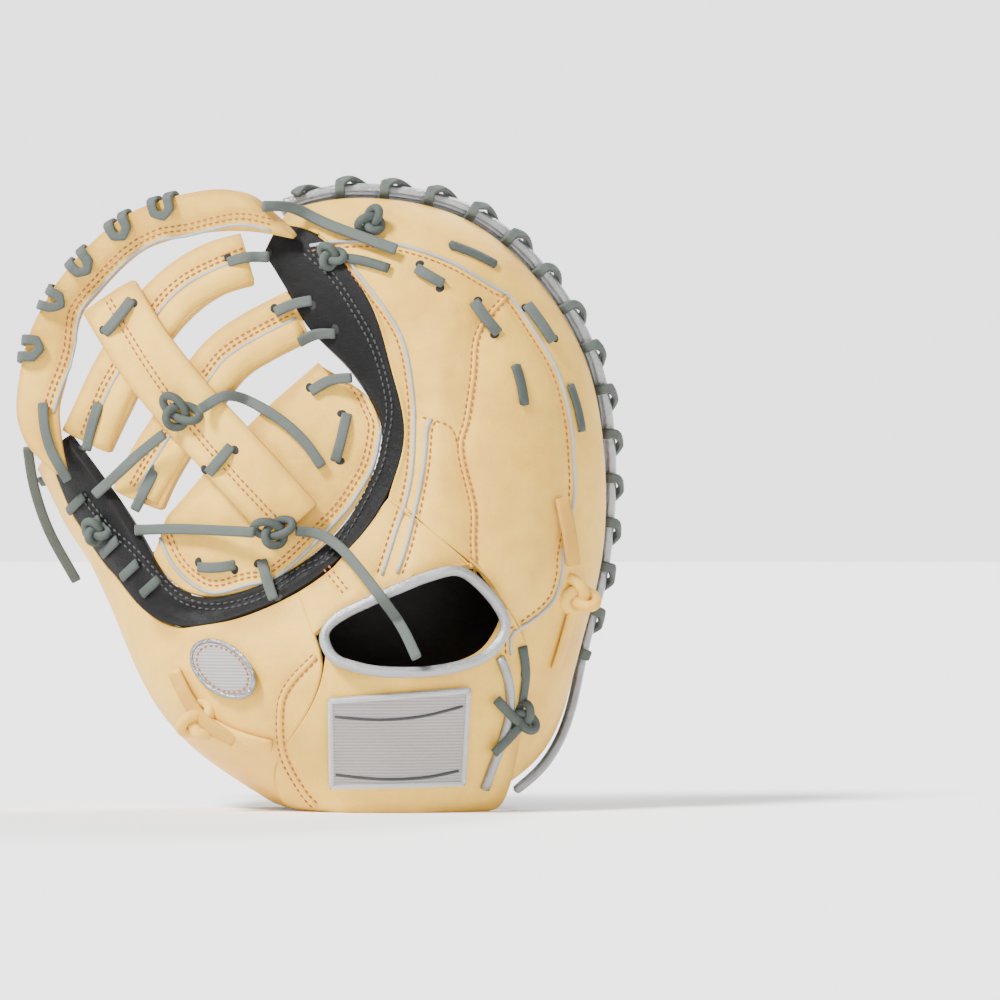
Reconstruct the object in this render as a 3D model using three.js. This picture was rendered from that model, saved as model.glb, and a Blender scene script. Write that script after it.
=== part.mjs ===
// First baseman mitt for the right hand, standing on its heel and wrist strap.
// Millimetres. +Z is up to the fingertips, the back of the mitt faces -Y and the pocket opens to +Y.
import * as THREE from 'three';

// Driving dimensions
const WIDTH = 284; // thumb side to little finger side, seen from the back
const HEIGHT = 298; // heel to the top of the web
const POCKET_DEPTH = 92; // bottom of the pocket to the thumb's rim, front to back
const HAND_DEPTH = 52; // palm leather to the back over the knuckles
const WRIST_GAP = 62; // palm heel to wrist strap
const RIM_BEAD = 6; // diameter of the rolled binding
const LEATHER = 3; // back panels, and the palm where it is folded over
const PALM_PAD = 5.5; // palm leather with its felt, at the rim
const HEEL_PAD = 9; // palm leather with its felt, at the heel
const FOLD = 10; // thickness of the palm's folded edge beside the web
const CUFF = 25; // widest part of the palm leather that shows on the back
const BAR_THICKNESS = 6; // folded web bars
const POST_THICKNESS = 4.5;
const BASE_THICKNESS = 3.5;
const LACE_WIDTH = 5;
const LACE_THICKNESS = 2.2;
const LACE_PITCH = 22; // along the rim
const PATCH_THICKNESS = 1.4;
const CLEARANCE = 0.3;
const SEAM = 1; // between two back panels
const SEAT = 0.55; // under a piece that lies on another
const EDGE_GAP = 0.9; // between the web and the leather that it hangs from

const LEAN = 0.12; // how far it leans back for each unit of height, as it stands

const BEAD_RADIUS = RIM_BEAD / 2;
const RIM = 2 * RIM_BEAD + 2 * CLEARANCE; // palm leather to back leather at the laced rim
const LACE_SLOT = LACE_THICKNESS + 8 * CLEARANCE; // a panel's edge to its binding

const palmLeather = new THREE.MeshStandardMaterial({ color: 0x1b1a1b, roughness: 0.55, metalness: 0 });
const backLeather = new THREE.MeshStandardMaterial({ color: 0xe3c691, roughness: 0.6, metalness: 0 });
const silverLeather = new THREE.MeshStandardMaterial({ color: 0xd3d8da, roughness: 0.35, metalness: 0.5 });
const laceLeather = new THREE.MeshStandardMaterial({ color: 0x7d807a, roughness: 0.65, metalness: 0 });
const patchCloth = new THREE.MeshStandardMaterial({ color: 0xc9c3c3, roughness: 0.8, metalness: 0 });

// Cross-sections of the hand part, from the fingertip beside the web round by the heel to the thumb tip.
// in: the palm's edge at the web. out: the palm's outer rim. x is a share of WIDTH, z of HEIGHT, y of POCKET_DEPTH.
// swell: greatest thickness, a share of HAND_DEPTH. open: how far the rim has parted into the wrist.
// cuff: share of CUFF.
const SECTIONS = [
  { inX: -0.064, inZ: 0.904, inY: 0.5, outX: -0.039, outZ: 0.942, outY: 0.57, swell: 0.25, open: 0, cuff: 0.3 },
  { inX: -0.03, inZ: 0.858, inY: 0.44, outX: 0.052, outZ: 0.965, outY: 0.62, swell: 0.3, open: 0, cuff: 0.8 },
  { inX: 0.013, inZ: 0.783, inY: 0.32, outX: 0.266, outZ: 0.93, outY: 0.67, swell: 0.5, open: 0, cuff: 0.95 },
  { inX: 0.094, inZ: 0.696, inY: 0.19, outX: 0.442, outZ: 0.725, outY: 0.71, swell: 0.64, open: 0, cuff: 0.4 },
  { inX: 0.137, inZ: 0.607, inY: 0.08, outX: 0.467, outZ: 0.442, outY: 0.72, swell: 0.74, open: 0, cuff: 0.14 },
  { inX: 0.124, inZ: 0.54, inY: 0.04, outX: 0.422, outZ: 0.283, outY: 0.67, swell: 0.82, open: 0.07, cuff: 0.12 },
  { inX: 0.094, inZ: 0.482, inY: 0.01, outX: 0.352, outZ: 0.144, outY: 0.58, swell: 0.9, open: 0.44, cuff: 0.12 },
  { inX: 0.06, inZ: 0.438, inY: -0.01, outX: 0.271, outZ: 0.065, outY: 0.49, swell: 0.97, open: 0.8, cuff: 0.12 },
  { inX: 0.017, inZ: 0.398, inY: -0.02, outX: 0.199, outZ: 0.045, outY: 0.44, swell: 1, open: 1, cuff: 0.12 },
  { inX: -0.03, inZ: 0.369, inY: -0.02, outX: 0.124, outZ: 0.045, outY: 0.42, swell: 1, open: 1, cuff: 0.12 },
  { inX: -0.08, inZ: 0.348, inY: -0.01, outX: 0.049, outZ: 0.051, outY: 0.44, swell: 0.95, open: 0.88, cuff: 0.12 },
  { inX: -0.134, inZ: 0.335, inY: 0.02, outX: -0.023, outZ: 0.097, outY: 0.51, swell: 0.85, open: 0.56, cuff: 0.14 },
  { inX: -0.188, inZ: 0.339, inY: 0.07, outX: -0.094, outZ: 0.166, outY: 0.62, swell: 0.74, open: 0.2, cuff: 0.2 },
  { inX: -0.235, inZ: 0.374, inY: 0.14, outX: -0.157, outZ: 0.256, outY: 0.75, swell: 0.63, open: 0, cuff: 0.3 },
  { inX: -0.265, inZ: 0.425, inY: 0.22, outX: -0.224, outZ: 0.339, outY: 0.87, swell: 0.53, open: 0, cuff: 0.5 },
  { inX: -0.302, inZ: 0.482, inY: 0.31, outX: -0.295, outZ: 0.422, outY: 0.96, swell: 0.44, open: 0, cuff: 0.8 },
  { inX: -0.345, inZ: 0.537, inY: 0.4, outX: -0.372, outZ: 0.486, outY: 0.98, swell: 0.35, open: 0, cuff: 0.8 },
  { inX: -0.402, inZ: 0.604, inY: 0.54, outX: -0.432, outZ: 0.569, outY: 0.92, swell: 0.25, open: 0, cuff: 0.3 },
];

const lerp = THREE.MathUtils.lerp;
const clamp = THREE.MathUtils.clamp;
const point = (x, y, z) => new THREE.Vector3(x * WIDTH, y * POCKET_DEPTH - z * HEIGHT * LEAN, z * HEIGHT);
const BACKWARD = new THREE.Vector3(0, -1, 0);
const FLOOR = new THREE.Vector3(-Infinity, -Infinity, 0);

const LAST = SECTIONS.length - 1;
const innerCurve = new THREE.CatmullRomCurve3(SECTIONS.map((s) => point(s.inX, s.inY, s.inZ)));
const outerCurve = new THREE.CatmullRomCurve3(SECTIONS.map((s) => point(s.outX, s.outY, s.outZ)));
const fullness = new THREE.CatmullRomCurve3(SECTIONS.map((s) => new THREE.Vector3(s.swell, s.open, s.cuff)));

const middle = (t) => {
  const at = clamp(t, 0, 1);
  return innerCurve.getPoint(at).lerp(outerCurve.getPoint(at), 0.5);
};

// The section at u, where u counts along SECTIONS.
function section(u) {
  const t = clamp(u / LAST, 0, 1);
  const inner = innerCurve.getPoint(t);
  const outer = outerCurve.getPoint(t);
  const { x: swell, y: open, z: cuff } = fullness.getPoint(t);
  const across = outer.clone().sub(inner);
  const length = across.length();
  across.normalize();
  const before = middle(t - 0.5 / LAST);
  const heading = middle(t + 0.5 / LAST).sub(before);
  const outward = heading.cross(across).normalize();
  return { inner, outer, across, outward, length, swell, open: clamp(open, 0, 1), cuff: (cuff * CUFF) / length };
}

// The pocket face of the palm, v from the web's edge to the rim.
const POCKET_SAG = 0.07; // of the section's length
const slope = (v) => 4 * POCKET_SAG * (1 - 2 * v);
const tangentAt = (s, v) => s.across.clone().addScaledVector(s.outward, slope(v)).normalize();
const normalAt = (s, v) => s.outward.clone().addScaledVector(s.across, -slope(v)).normalize();
function palmPoint(u, v) {
  const s = section(u);
  return s.inner
    .clone()
    .lerp(s.outer, v)
    .addScaledVector(s.outward, s.length * POCKET_SAG * 4 * v * (1 - v));
}

// The outer face of the back, over the same u and v.
function backPoint(u, v) {
  const s = section(u);
  const even = lerp(FOLD, lerp(RIM, WRIST_GAP, s.open), v);
  const full = Math.max(s.swell * HAND_DEPTH, even);
  const hump = Math.sin(Math.PI * Math.pow(v, 1.3)) ** 0.6;
  const towards = normalAt(s, v).lerp(BACKWARD, v * s.open ** 2).normalize();
  return palmPoint(u, v).addScaledVector(towards, even + (full - even) * (v > 0 && v < 1 ? hump : 0));
}

// Even steps along the leather between two sections, since the sections aren't evenly spaced.
const STATIONS = 340;
const stationPoint = (k) => {
  const t = k / STATIONS;
  return innerCurve.getPoint(t).lerp(outerCurve.getPoint(t), 0.7);
};
const travelled = [0];
for (let k = 1; k <= STATIONS; k++)
  travelled.push(travelled[k - 1] + stationPoint(k - 1).distanceTo(stationPoint(k)));
function travelTo(u) {
  const at = clamp(u / LAST, 0, 1) * STATIONS;
  const k = Math.min(Math.floor(at), STATIONS - 1);
  return lerp(travelled[k], travelled[k + 1], at - k);
}
function evenU(from, to, share) {
  const goal = lerp(travelTo(from), travelTo(to), share);
  const k = clamp(travelled.findIndex((t) => t >= goal), 1, STATIONS);
  const rest = (goal - travelled[k - 1]) / (travelled[k] - travelled[k - 1]);
  return clamp(((k - 1 + rest) / STATIONS) * LAST, 0, LAST);
}

// A closed geometry from quads and triangles given as lists of Vector3.
function closedGeometry(faces) {
  const positions = [];
  for (const face of faces)
    for (let k = 1; k < face.length - 1; k++)
      for (const p of [face[0], face[k], face[k + 1]]) positions.push(p.x, p.y, p.z);
  // Faces that came out inside out are turned round.
  let volume = 0;
  for (let k = 0; k < positions.length; k += 9) {
    const [a, b, c] = [0, 3, 6].map((n) => new THREE.Vector3().fromArray(positions, k + n));
    volume += a.dot(b.cross(c));
  }
  if (volume < 0)
    for (let k = 0; k < positions.length; k += 9)
      for (let n = 0; n < 3; n++) {
        const kept = positions[k + 3 + n];
        positions[k + 3 + n] = positions[k + 6 + n];
        positions[k + 6 + n] = kept;
      }
  const geometry = new THREE.BufferGeometry();
  geometry.setAttribute('position', new THREE.Float32BufferAttribute(positions, 3));
  geometry.computeVertexNormals();
  return geometry;
}

// A sheet of leather: face(i, j) is its outer face on a grid, and thickness(i, j) goes inwards from it.
function sheet(columns, rows, face, thickness) {
  const outer = [];
  for (let i = 0; i <= columns; i++) {
    outer.push([]);
    for (let j = 0; j <= rows; j++) outer[i].push(face(i, j));
  }
  const at = (i, j) => outer[clamp(i, 0, columns)][clamp(j, 0, rows)];
  const inner = outer.map((line, i) =>
    line.map((p, j) => {
      const along = at(i + 1, j).clone().sub(at(i - 1, j));
      const over = at(i, j + 1).clone().sub(at(i, j - 1));
      return p.clone().addScaledVector(along.cross(over).normalize(), -thickness(i, j)).max(FLOOR);
    })
  );
  const faces = [];
  for (let i = 0; i < columns; i++)
    for (let j = 0; j < rows; j++) {
      faces.push([outer[i][j], outer[i + 1][j], outer[i + 1][j + 1], outer[i][j + 1]]);
      faces.push([inner[i][j], inner[i][j + 1], inner[i + 1][j + 1], inner[i + 1][j]]);
    }
  for (let i = 0; i < columns; i++) {
    faces.push([outer[i][0], inner[i][0], inner[i + 1][0], outer[i + 1][0]]);
    faces.push([outer[i][rows], outer[i + 1][rows], inner[i + 1][rows], inner[i][rows]]);
  }
  for (let j = 0; j < rows; j++) {
    faces.push([outer[0][j], outer[0][j + 1], inner[0][j + 1], inner[0][j]]);
    faces.push([outer[columns][j], inner[columns][j], inner[columns][j + 1], outer[columns][j + 1]]);
  }
  return closedGeometry(faces);
}

// A bar of closed cross-sections, each a list of points, capped at both ends, or joined end to end.
function loft(rings, closed = false) {
  const faces = [];
  const count = rings[0].length;
  const spans = closed ? rings.length : rings.length - 1;
  for (let i = 0; i < spans; i++) {
    const a = rings[i];
    const b = rings[(i + 1) % rings.length];
    for (let k = 0; k < count; k++) {
      const n = (k + 1) % count;
      faces.push([a[k], a[n], b[n], b[k]]);
    }
  }
  if (!closed) {
    faces.push([...rings[0]].reverse());
    faces.push(rings[rings.length - 1]);
  }
  return closedGeometry(faces);
}

// A ring of points round a centre: wide along one vector and thick along another, with rounded corners.
function oval(centre, wide, thick, sides, roundness = 0.6) {
  const bend = (c) => Math.sign(c) * Math.abs(c) ** roundness;
  return Array.from({ length: sides }, (_, k) => {
    const angle = (2 * Math.PI * (k + 0.5)) / sides;
    return centre
      .clone()
      .addScaledVector(wide, bend(Math.cos(angle)))
      .addScaledVector(thick, bend(Math.sin(angle)));
  });
}

const mitt = new THREE.Group();
function add(name, geometry, material) {
  const mesh = new THREE.Mesh(geometry, material);
  mesh.name = name;
  mitt.add(mesh);
  return mesh;
}

// The palm: one piece of black leather over felt, folded over beside the web and stitched to the back.
const PALM_COLUMNS = 40;
const FOLD_STEPS = 3;
const PALM_ROWS = [1, 0.8, 0.6, 0.4, 0.2, 0.07];
const CUFF_ROWS = [0, 0.5, 1];
function palm() {
  const rows = [
    ...PALM_ROWS.map((v) => ({ side: 'pocket', v })),
    ...Array.from({ length: FOLD_STEPS }, (_, k) => ({ side: 'fold', v: k / FOLD_STEPS })),
    ...CUFF_ROWS.map((v) => ({ side: 'cuff', v })),
  ];
  const face = (i, j) => {
    const u = evenU(0, LAST, i / PALM_COLUMNS);
    const { side, v } = rows[j];
    if (side === 'pocket') return palmPoint(u, v);
    if (side === 'cuff') return backPoint(u, v * section(u).cuff);
    const s = section(u);
    const turn = Math.PI * v;
    return s.inner
      .clone()
      .addScaledVector(normalAt(s, 0), (FOLD / 2) * (1 - Math.cos(turn)))
      .addScaledVector(tangentAt(s, 0), (-FOLD / 2) * Math.sin(turn));
  };
  const thickness = (i, j) => {
    const { side, v } = rows[j];
    if (side !== 'pocket') return LEATHER;
    const rimPad = lerp(PALM_PAD, HEEL_PAD, section(evenU(0, LAST, i / PALM_COLUMNS)).open);
    return lerp(LEATHER, rimPad, v);
  };
  return sheet(PALM_COLUMNS, rows.length - 1, face, thickness);
}
add('palm', palm(), palmLeather);

// A value read off a table of [at, value] rows.
function along(table, at) {
  const k = clamp(table.findIndex((row) => row[0] > at), 1, table.length - 1);
  const row = at >= table[table.length - 1][0] ? table.length - 1 : k;
  const [a, from] = table[row - 1];
  const [b, to] = table[row];
  return lerp(from, to, clamp((at - a) / (b - a), 0, 1));
}

// Seams of the back, u against v: the finger back ends at the first one and the thumb back starts at the second.
const FINGER_END = 5.46;
const FINGER_SEAM = [[0, FINGER_END], [0.4, FINGER_END], [0.62, 5.6], [1, 6.9]];
const THUMB_SEAM = [[0, 8.7], [0.28, 8.7], [0.6, 10.3], [0.85, 10.7], [1, 10.6]];
// Wrist opening, v against u: the knuckle panel's edge and the strap's edge.
const KNUCKLE_EDGE = [[FINGER_END, 0.34], [5.75, 0.27], [6.2, 0.215], [7, 0.17], [8, 0.14], [8.7, 0.17]];
const STRAP_EDGE = [[FINGER_END, 0.46], [5.75, 0.51], [6.1, 0.51], [7, 0.42], [8, 0.33], [8.7, 0.25]];
const SEAM_GAP = 0.02; // of the way from one section to the next

// Where the back leather starts beside the palm's folded edge.
const cuffEdge = (u) => section(u).cuff + SEAM / section(u).length;

function backPanel(columns, rows, place) {
  const face = (i, j) => {
    const { u, v } = place(i / columns, j / rows);
    return backPoint(u, v).max(FLOOR);
  };
  return sheet(columns, rows, face, () => LEATHER);
}

function fingerBack(s, r) {
  const v = lerp(cuffEdge(evenU(0, FINGER_END, s)), 1, r);
  return { u: evenU(0, along(FINGER_SEAM, v) - SEAM_GAP, s), v };
}
add('finger_back', backPanel(20, 10, fingerBack), backLeather);

function knucklePanel(s, r) {
  const u = lerp(FINGER_END + SEAM_GAP, 8.7 - SEAM_GAP, s);
  return { u, v: lerp(cuffEdge(u), along(KNUCKLE_EDGE, u), r) };
}
add('knuckle_panel', backPanel(11, 3, knucklePanel), backLeather);

function strap(s, r) {
  const top = lerp(FINGER_END + 0.15, 8.7, s);
  const v = lerp(along(STRAP_EDGE, top), 1, r);
  return { u: lerp(along(FINGER_SEAM, v) + 4 * SEAM_GAP, along(THUMB_SEAM, v) - 6 * SEAM_GAP, s), v };
}
// The strap's hem comes down to the surface that the mitt stands on.
function wristStrap() {
  const columns = 14;
  const rows = 8;
  const face = (i, j) => {
    const { u, v } = strap(i / columns, j / rows);
    const p = backPoint(u, v);
    const drop = THREE.MathUtils.smoothstep(j / rows, 0.4, 1);
    p.z = Math.max(lerp(p.z, 0, drop), 0);
    return p;
  };
  const geometry = sheet(columns, rows, face, () => LEATHER);
  const positions = geometry.attributes.position;
  for (let k = 0; k < positions.count; k++) if (positions.getZ(k) < LEATHER) positions.setZ(k, 0);
  return geometry;
}
add('wrist_strap', wristStrap(), backLeather);

function thumbBack(s, r) {
  const start = 8.7;
  const v = lerp(cuffEdge(evenU(start, LAST, s)), 1, r);
  return { u: evenU(along(THUMB_SEAM, v) + SEAM_GAP, LAST, s), v };
}
add('thumb_back', backPanel(19, 8, thumbBack), backLeather);

// The rim: a rolled binding beside the palm's edge, and another beside the back's edge.
function rimPoint(u, depth) {
  const s = section(u);
  const parted = depth > RIM_BEAD ? s.open ** 2 : 0;
  const towards = normalAt(s, 1).lerp(BACKWARD, parted).normalize();
  const t = clamp(u / LAST, 0.5 / LAST, 1 - 0.5 / LAST);
  const heading = outerCurve.getPoint(t + 0.1 / LAST).sub(outerCurve.getPoint(t - 0.1 / LAST)).normalize();
  const across = tangentAt(s, 1);
  across.addScaledVector(heading, -across.dot(heading)).normalize();
  const p = palmPoint(u, 1)
    .addScaledVector(across, LACE_SLOT + BEAD_RADIUS)
    .addScaledVector(towards, depth);
  towards.addScaledVector(heading, -towards.dot(heading)).normalize();
  p.z = Math.max(p.z, BEAD_RADIUS + 4 * CLEARANCE + LACE_THICKNESS);
  return { p, across, towards };
}
const BEAD_SIDES = 6;
function rimBead(from, to, steps, depth) {
  const rings = Array.from({ length: steps + 1 }, (_, i) => {
    const u = evenU(from, to, i / steps);
    const { p, across, towards } = rimPoint(u, depth(u));
    const wide = across.clone().multiplyScalar(BEAD_RADIUS);
    const thick = towards.clone().multiplyScalar(BEAD_RADIUS);
    return oval(p, wide, thick, BEAD_SIDES, 1);
  });
  return loft(rings);
}
const rimGap = (u) => lerp(RIM, WRIST_GAP, section(u).open);
add('palm_rim_binding', rimBead(0, LAST, 60, () => BEAD_RADIUS), silverLeather);
add('finger_rim_binding', rimBead(0, 6.7, 30, (u) => rimGap(u) - BEAD_RADIUS), silverLeather);
add('thumb_rim_binding', rimBead(10.4, LAST, 22, (u) => rimGap(u) - BEAD_RADIUS), silverLeather);

// Depth of the first leather that lies behind a point as seen from the back.
const finder = new THREE.Raycaster();
const INTO = new THREE.Vector3(0, 1, 0);
function frontDepth(x, z) {
  finder.set(new THREE.Vector3(x, -3 * WIDTH, z), INTO);
  const [hit] = finder.intersectObjects(mitt.children, false);
  return hit ? hit.point.y : Infinity;
}

// How far a point can move along a direction before there is leather behind it, less EDGE_GAP.
function room(from, direction, most) {
  for (let t = 0; t <= most; t += CLEARANCE)
    if (Number.isFinite(frontDepth(from.x + t * direction.x, from.z + t * direction.z))) return t - EDGE_GAP;
  return null;
}

// The web. Its pieces are drawn as seen from the back, in shares of WIDTH and HEIGHT, and lie between the palm's
// folded edge and the band along the top.
const WEB_BAND = [
  { outX: -0.094, outZ: 0.987, inX: -0.013, inZ: 0.917, y: 0.3 },
  { outX: -0.141, outZ: 0.998, inX: -0.09, inZ: 0.93, y: 0.36 },
  { outX: -0.194, outZ: 0.994, inX: -0.174, inZ: 0.927, y: 0.44 },
  { outX: -0.253, outZ: 0.982, inX: -0.235, inZ: 0.915, y: 0.5 },
  { outX: -0.312, outZ: 0.958, inX: -0.28, inZ: 0.899, y: 0.55 },
  { outX: -0.365, outZ: 0.919, inX: -0.323, inZ: 0.864, y: 0.59 },
  { outX: -0.412, outZ: 0.872, inX: -0.357, inZ: 0.829, y: 0.61 },
  { outX: -0.449, outZ: 0.823, inX: -0.384, inZ: 0.799, y: 0.62 },
  { outX: -0.479, outZ: 0.762, inX: -0.394, inZ: 0.754, y: 0.59 },
  { outX: -0.494, outZ: 0.69, inX: -0.41, inZ: 0.69, y: 0.54 },
  { outX: -0.497, outZ: 0.645, inX: -0.42, inZ: 0.652, y: 0.48 },
  { outX: -0.492, outZ: 0.618, inX: -0.419, inZ: 0.629, y: 0.44 },
];
const bandRows = WEB_BAND.map((b) => ({ outer: point(b.outX, b.y, b.outZ), inner: point(b.inX, b.y, b.inZ) }));
// Its thumb end narrows and lies over the tip of the palm.
const BAND_TAIL = [
  { outX: -0.476, outZ: 0.585, inX: -0.416, inZ: 0.598 },
  { outX: -0.45, outZ: 0.56, inX: -0.411, inZ: 0.57 },
  { outX: -0.427, outZ: 0.54, inX: -0.406, inZ: 0.547 },
];
for (const b of BAND_TAIL) {
  const depths = [];
  for (let k = 0; k <= 8; k++)
    for (const rise of [-0.02, 0, 0.02]) {
      const x = lerp(b.outX, b.inX, k / 8) * WIDTH;
      depths.push(frontDepth(x, (lerp(b.outZ, b.inZ, k / 8) + rise) * HEIGHT));
    }
  const last = bandRows[bandRows.length - 1].outer.y;
  const y = Math.min(last, Math.min(...depths) - BAR_THICKNESS / 2 - EDGE_GAP);
  bandRows.push({ outer: point(b.outX, 0, b.outZ).setY(y), inner: point(b.inX, 0, b.inZ).setY(y) });
}
const webRim = [
  ...Array.from({ length: 41 }, (_, k) => {
    const s = section((LAST * k) / 40);
    return s.inner.clone().addScaledVector(s.outward, FOLD / 2);
  }),
  ...bandRows.map((b) => b.outer.clone().lerp(b.inner, 0.5)),
];
const WEB_BULGE = 0.09; // of POCKET_DEPTH, towards the back
// Depth of the middle of the web's leather, from the depth of what it hangs between.
function webDepth(x, z) {
  let sum = 0;
  let weights = 0;
  let nearest = Infinity;
  for (const p of webRim) {
    const away = Math.hypot(p.x - x, p.z - z);
    const weight = 1 / (away ** 2.2 + 4);
    sum += weight * p.y;
    weights += weight;
    nearest = Math.min(nearest, away);
  }
  return sum / weights - WEB_BULGE * POCKET_DEPTH * THREE.MathUtils.smoothstep(nearest, 0, WIDTH / 5);
}
const onWeb = ([x, z], lift = 0) => {
  const p = point(x, 0, z);
  p.y = webDepth(p.x, p.z) - lift;
  return p;
};

// A folded strip of leather along a centreline, lying in the web. Either end can run on to what it hangs from.
function webStrip(centreline, steps, width, thickness, lift, runsOn = [true, true]) {
  const ends = [centreline.slice(0, 2), centreline.slice(-2).reverse()].map(([end, before], k) => {
    const way = new THREE.Vector3((end[0] - before[0]) * WIDTH, 0, (end[1] - before[1]) * HEIGHT).normalize();
    const start = new THREE.Vector3(end[0] * WIDTH, 0, end[1] * HEIGHT);
    const rooms = [-0.5, -0.25, 0, 0.25, 0.5].map((share) => {
      const spot = start.clone().add(new THREE.Vector3(way.z, 0, -way.x).multiplyScalar(share * width));
      return room(spot, way, WIDTH / 8);
    });
    const free = rooms.filter((r) => r !== null);
    const more = runsOn[k] && free.length ? Math.min(...free) : 0;
    return [end[0] + (way.x * more) / WIDTH, end[1] + (way.z * more) / HEIGHT];
  });
  const points = [ends[0], ...centreline.slice(1, -1), ends[1]];
  const path = new THREE.CatmullRomCurve3(points.map((c) => onWeb(c, lift)));
  const rings = Array.from({ length: steps + 1 }, (_, k) => {
    const p = path.getPointAt(k / steps);
    const heading = path.getTangentAt(k / steps);
    const side = new THREE.Vector3(heading.z, 0, -heading.x).normalize();
    const a = p.clone().addScaledVector(side, width / 2);
    const b = p.clone().addScaledVector(side, -width / 2);
    a.y = webDepth(a.x, a.z) - lift;
    b.y = webDepth(b.x, b.z) - lift;
    const wide = a.clone().sub(b).multiplyScalar(0.5);
    const thick = heading.cross(wide).normalize().multiplyScalar(thickness / 2);
    return oval(a.lerp(b, 0.5), wide, thick, 8, 0.5);
  });
  return loft(rings);
}

const bandOuter = new THREE.CatmullRomCurve3(bandRows.map((b) => b.outer));
const bandInner = new THREE.CatmullRomCurve3(bandRows.map((b) => b.inner));
function bandFrame(t) {
  const outer = bandOuter.getPoint(t);
  const wide = outer.clone().sub(bandInner.getPoint(t));
  const heading = bandOuter.getTangent(t).add(bandInner.getTangent(t)).normalize();
  const back = heading.clone().cross(wide).normalize();
  if (back.y > 0) back.negate();
  return { outer, wide, back };
}
const bandRings = Array.from({ length: 27 }, (_, k) => {
  const { outer, wide, back } = bandFrame(k / 26);
  wide.multiplyScalar(0.5);
  return oval(outer.sub(wide), wide, back.multiplyScalar(BAR_THICKNESS / 2), 8, 0.5);
});
add('web_band', loft(bandRings), backLeather);

const BAR_WIDTH = 0.096; // of WIDTH
const UPPER_BAR = [
  [-0.107, 0.883], [-0.152, 0.871], [-0.204, 0.842], [-0.25, 0.8], [-0.286, 0.751],
  [-0.32, 0.698], [-0.343, 0.653], [-0.357, 0.626],
];
const LOWER_BAR = [
  [-0.034, 0.783], [-0.077, 0.762], [-0.131, 0.728], [-0.164, 0.69], [-0.219, 0.61],
  [-0.258, 0.553], [-0.271, 0.527],
];
add('web_bar_upper', webStrip(UPPER_BAR, 18, BAR_WIDTH * WIDTH, BAR_THICKNESS, 0), backLeather);
add('web_bar_lower', webStrip(LOWER_BAR, 16, BAR_WIDTH * WIDTH, BAR_THICKNESS, 0), backLeather);

// The half-moon at the bottom of the web, between a straight edge and a curved one.
const BASE_STRAIGHT = [
  [0.02, 0.719], [-0.109, 0.607], [-0.238, 0.47],
];
const BASE_CURVE = [
  [0.034, 0.706], [0.077, 0.665], [0.107, 0.607], [0.099, 0.55], [0.074, 0.5], [0.042, 0.458],
  [0.002, 0.422], [-0.042, 0.393], [-0.087, 0.374], [-0.134, 0.361], [-0.178, 0.364],
  [-0.214, 0.388], [-0.238, 0.425], [-0.243, 0.454],
];
function webBase() {
  const straight = new THREE.CatmullRomCurve3(BASE_STRAIGHT.map((c) => onWeb(c)));
  const curved = new THREE.CatmullRomCurve3(BASE_CURVE.map((c) => onWeb(c)));
  const columns = 15;
  const rows = 4;
  const edges = Array.from({ length: columns + 1 }, (_, i) => {
    const from = straight.getPointAt(i / columns);
    const to = curved.getPointAt(i / columns);
    const way = to.clone().sub(from).setY(0);
    const far = way.length();
    const more = room(from, way.normalize(), far + WIDTH / 12);
    return [from, more === null ? to : from.clone().addScaledVector(way, more)];
  });
  const face = (i, j) => {
    const p = edges[i][0].clone().lerp(edges[i][1], j / rows);
    p.y = webDepth(p.x, p.z) - BASE_THICKNESS / 2;
    return p;
  };
  return sheet(columns, rows, face, () => BASE_THICKNESS);
}
add('web_base', webBase(), backLeather);

const POST_WIDTH = 0.109; // of WIDTH
const POST = [
  [-0.331, 0.819], [-0.273, 0.733], [-0.203, 0.65], [-0.114, 0.559], [-0.017, 0.457],
];
const POST_LIFT = (BAR_THICKNESS + POST_THICKNESS) / 2 + 5 * CLEARANCE;
add(
  'web_post',
  webStrip(POST, 18, POST_WIDTH * WIDTH, POST_THICKNESS, POST_LIFT, [true, false]),
  backLeather
);

const SPREAD = [-1, -0.5, 0, 0.5, 1];

// Spots spread over a triangle, as shares of its corners.
const SPOTS = [0, 1, 2, 3].flatMap((a) => {
  return Array.from({ length: 4 - a }, (_, b) => [a / 3, b / 3, 1 - (a + b) / 3]);
});

// Moves a laid piece back until its nearest spot is just clear of what lies behind it.
function settle(geometry) {
  const positions = geometry.attributes.position;
  let nearest = Infinity;
  const spot = new THREE.Vector3();
  const corner = new THREE.Vector3();
  for (let k = 0; k < positions.count; k += 3)
    for (const shares of SPOTS) {
      spot.set(0, 0, 0);
      shares.forEach((share, n) => spot.addScaledVector(corner.fromBufferAttribute(positions, k + n), share));
      nearest = Math.min(nearest, frontDepth(spot.x, spot.z) - spot.y);
    }
  const move = nearest - SEAT;
  if (Number.isFinite(move) && move > 0) geometry.translate(0, move, 0);
  return Number.isFinite(move) && move > 0 ? move : 0;
}

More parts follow.
